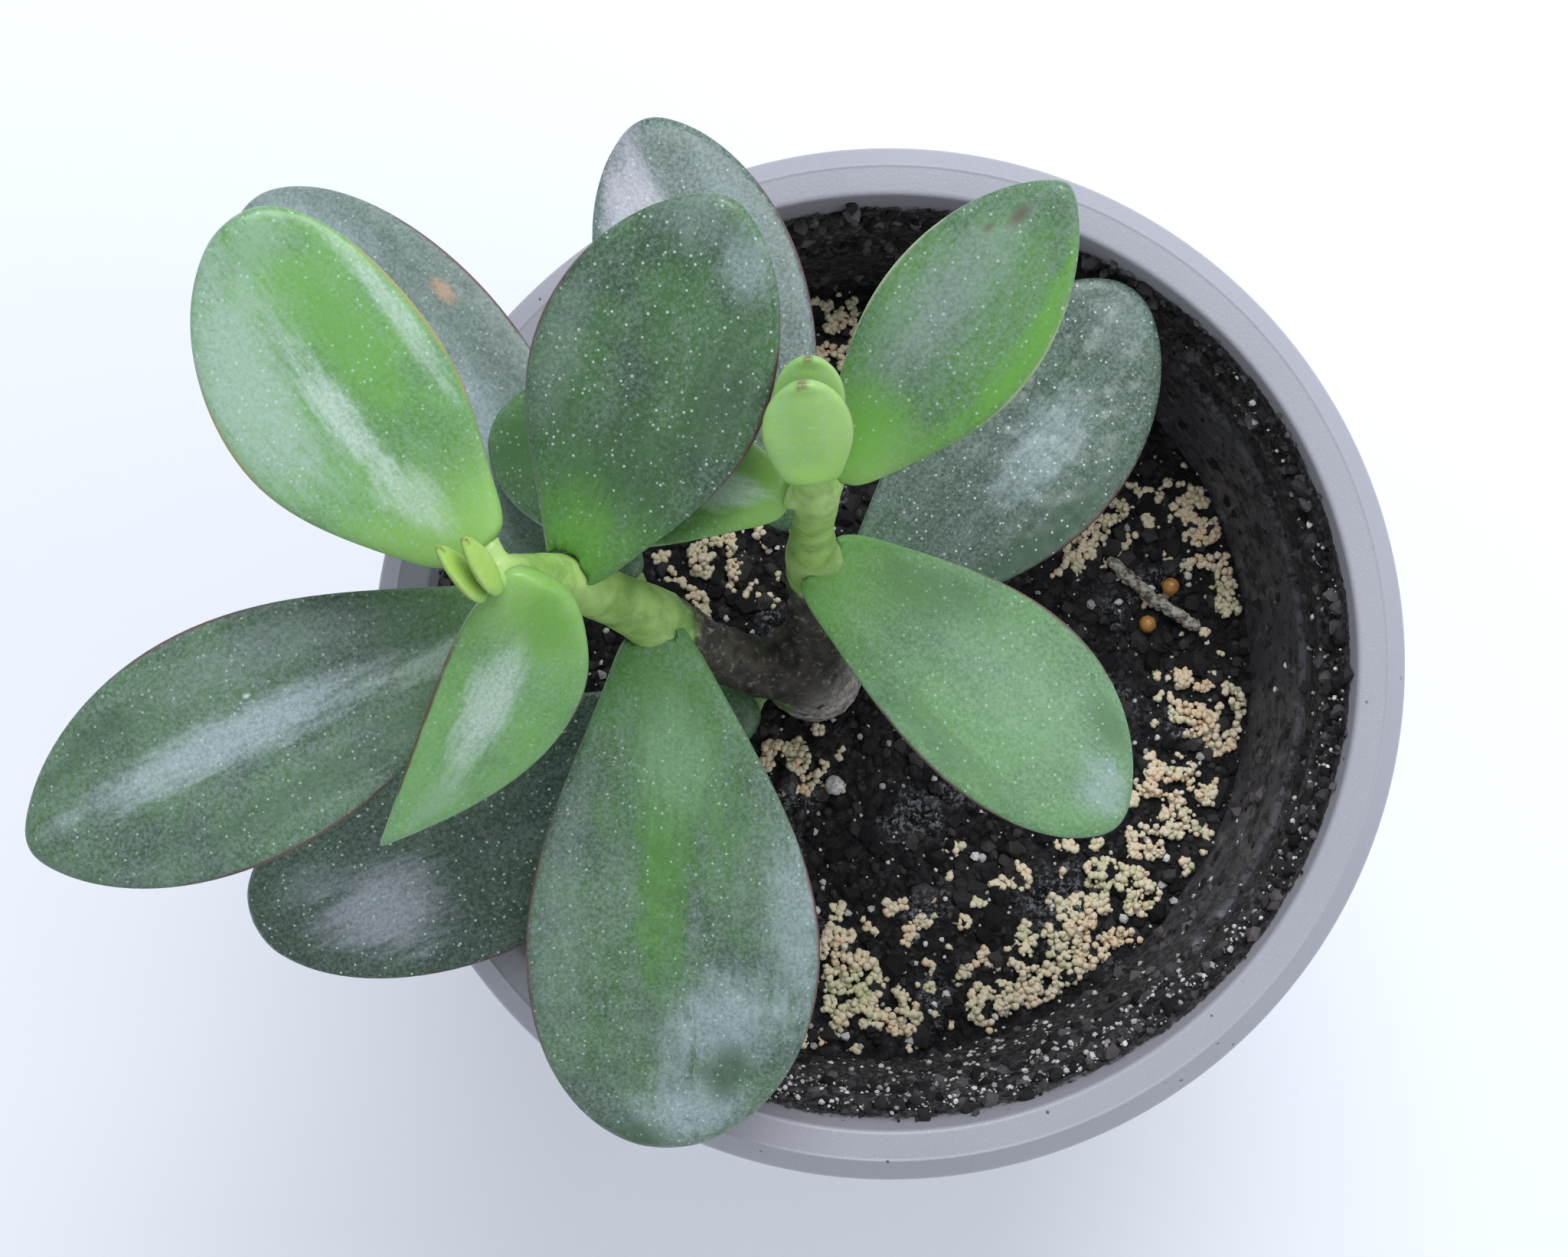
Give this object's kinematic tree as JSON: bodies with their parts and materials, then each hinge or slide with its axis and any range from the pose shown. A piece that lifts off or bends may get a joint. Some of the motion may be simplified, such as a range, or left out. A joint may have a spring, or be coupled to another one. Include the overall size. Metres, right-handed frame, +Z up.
{
  "type": "potted jade plant",
  "caption": "Small jade plant with thick oval leaves on forked branches, growing in a round grey plastic pot of dark soil.",
  "frame": {"origin": "centre of the pot's flat underside, on the surface it stands on", "axes": "+Z up along the pot's axis; the taller branch with the longest overhanging leaves leans towards -X"},
  "size_m": [0.1519, 0.121, 0.1666],
  "materials": {
    "pot_plastic": "satin light grey, faint specks",
    "soil_earth": "dark crumbly potting soil",
    "bark": "brown bark, green towards the growing ends",
    "old_leaf": "dark blue-green, waxy bloom, fine white dots",
    "young_leaf": "bright yellow-green, glossy",
    "prill_coat": "translucent orange-brown coating",
    "perlite_white": "rough white",
    "twig_bark": "dry, crusted",
    "crust_mineral": "dull pale cream granules"
  },
  "bodies": {
    "root": {"pot": "pot_plastic", "soil": "soil_earth", "stem": "bark", "leaf_base_left": "old_leaf", "leaf_base_right": "old_leaf", "leaf_a_front": "old_leaf", "leaf_a_back": "old_leaf", "leaf_b_left": "old_leaf", "leaf_b_right": "old_leaf", "leaf_d_right": "old_leaf", "leaf_d_back": "old_leaf", "leaf_c_back": "young_leaf", "leaf_c_front": "young_leaf", "leaf_e_right": "young_leaf", "leaf_e_left": "young_leaf", "leaf_top_front": "young_leaf", "leaf_top_back": "young_leaf", "bud_left": "young_leaf", "bud_right": "young_leaf", "fertiliser_prill_1": "prill_coat", "fertiliser_prill_2": "prill_coat", "perlite_ball": "perlite_white", "twig": "twig_bark", "crust_back": "crust_mineral", "crust_right_back": "crust_mineral", "crust_by_twig": "crust_mineral", "crust_right": "crust_mineral", "crust_side": "crust_mineral", "crust_front_right": "crust_mineral", "crust_front": "crust_mineral", "crust_stem": "crust_mineral", "crust_fork": "crust_mineral"}
  },
  "joints": []
}
